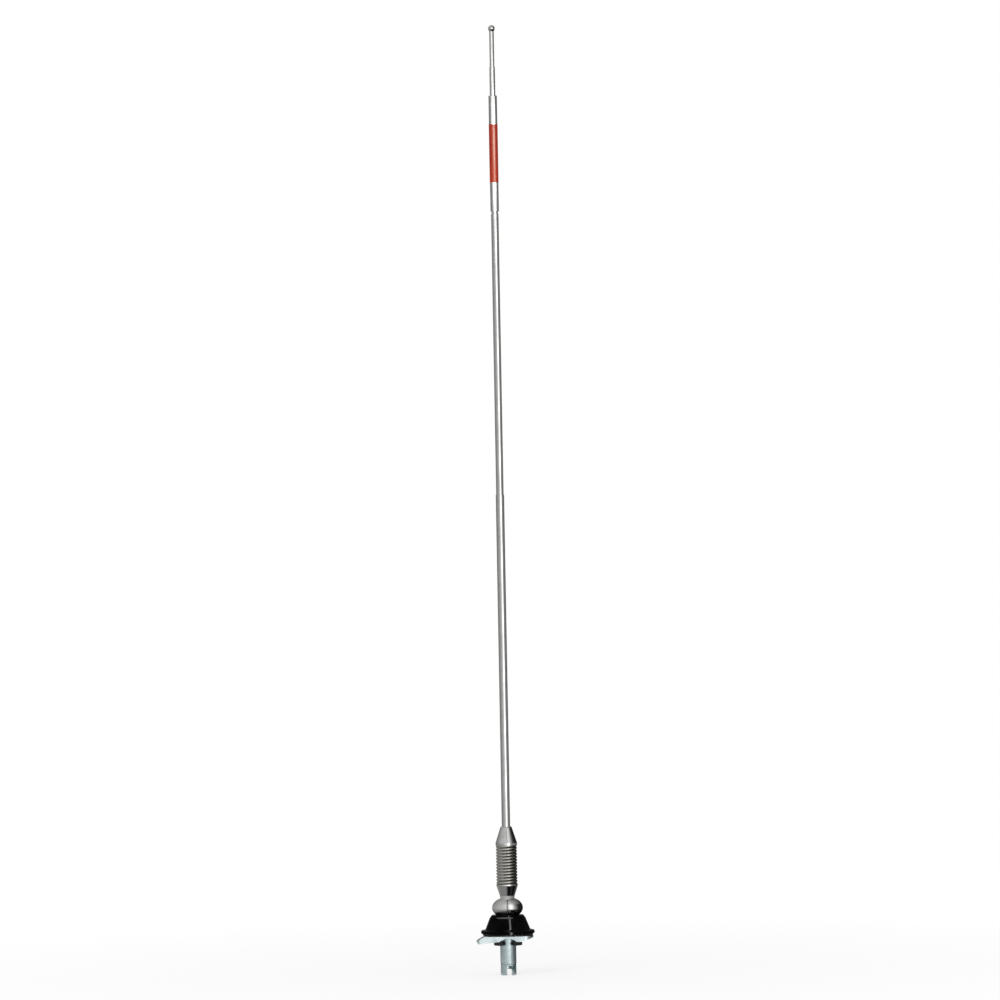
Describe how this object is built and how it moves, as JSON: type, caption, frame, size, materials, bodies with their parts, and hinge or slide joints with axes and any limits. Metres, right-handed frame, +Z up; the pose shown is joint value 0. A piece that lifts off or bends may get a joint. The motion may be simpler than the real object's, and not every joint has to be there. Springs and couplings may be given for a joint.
{
  "type": "car mast aerial",
  "caption": "Telescopic car aerial: chrome mast with a red band, on a coil spring and a split-ball swivel, with a black bezel, clamp claw and bayonet stud.",
  "frame": {"origin": "centre of the gasket's underside, where the panel's outer face lies", "axes": "+Z up the mast, +X to the right of the picture, front towards -Y"},
  "size_m": [0.0437, 0.0402, 0.7108],
  "materials": {
    "rubber": "matt black rubber",
    "black_plastic": "glossy black moulding",
    "zinc": "bright blue zinc plating",
    "nut_steel": "plain plated steel",
    "nylon": "natural nylon",
    "brass": "turned brass",
    "black_steel": "blackened spring steel",
    "chrome": "bright chrome plating",
    "spring_steel": "chrome-plated spring wire",
    "red_plastic": "glossy red sleeve"
  },
  "bodies": {
    "base": {"gasket": "rubber", "bezel": "black_plastic", "socket_collar": "black_plastic", "bezel_nut": "nut_steel", "stud_tube": "zinc", "claw": "zinc", "claw_clip": "black_steel", "insulator_bush": "nylon", "centre_contact": "brass", "ball_base_half": "chrome", "friction_washer": "nut_steel", "spring_washer": "nut_steel", "swivel_screw": "chrome"},
    "swivel": {"ball_mast_half": "chrome", "lower_ferrule": "chrome"},
    "spring": {"coil_spring": "spring_steel"},
    "mast": {"upper_ferrule": "chrome", "lower_tube": "chrome"},
    "second_section": {"second_tube": "chrome", "second_foot": "brass"},
    "third_section": {"third_tube": "chrome", "third_foot": "brass", "band_sleeve": "chrome", "red_band": "red_plastic"},
    "fourth_section": {"fourth_tube": "chrome", "fourth_foot": "brass"},
    "tip_section": {"tip_rod": "chrome", "rod_foot": "brass", "tip_ball": "chrome"}
  },
  "joints": [
    {"name": "swivel_tilt", "type": "hinge", "parent": "base", "child": "swivel", "pos_m": [0, 0, 0.0205], "axis": [1, 0, 0], "range_deg": [-70, 70]},
    {"name": "spring_bend_side", "type": "hinge", "parent": "swivel", "child": "spring", "pos_m": [0, 0, 0.0468], "axis": [0, 1, 0], "range_deg": [-30, 30], "stiffness_Nm_per_rad": 2.5, "deforming": ["coil_spring"]},
    {"name": "spring_bend_fore", "type": "hinge", "parent": "spring", "child": "mast", "pos_m": [0, 0, 0.0585], "axis": [1, 0, 0], "range_deg": [-30, 30], "stiffness_Nm_per_rad": 2.5, "deforming": ["coil_spring"]},
    {"name": "second_slide", "type": "slide", "parent": "mast", "child": "second_section", "axis": [0, 0, 1], "range_m": [-0.209, 0.0205]},
    {"name": "third_slide", "type": "slide", "parent": "second_section", "child": "third_section", "axis": [0, 0, 1], "range_m": [-0.0016, 0.1275]},
    {"name": "fourth_slide", "type": "slide", "parent": "third_section", "child": "fourth_section", "axis": [0, 0, 1], "range_m": [-0.0205, 0.1495]},
    {"name": "tip_slide", "type": "slide", "parent": "fourth_section", "child": "tip_section", "axis": [0, 0, 1], "range_m": [-0.0262, 0.1175]}
  ]
}
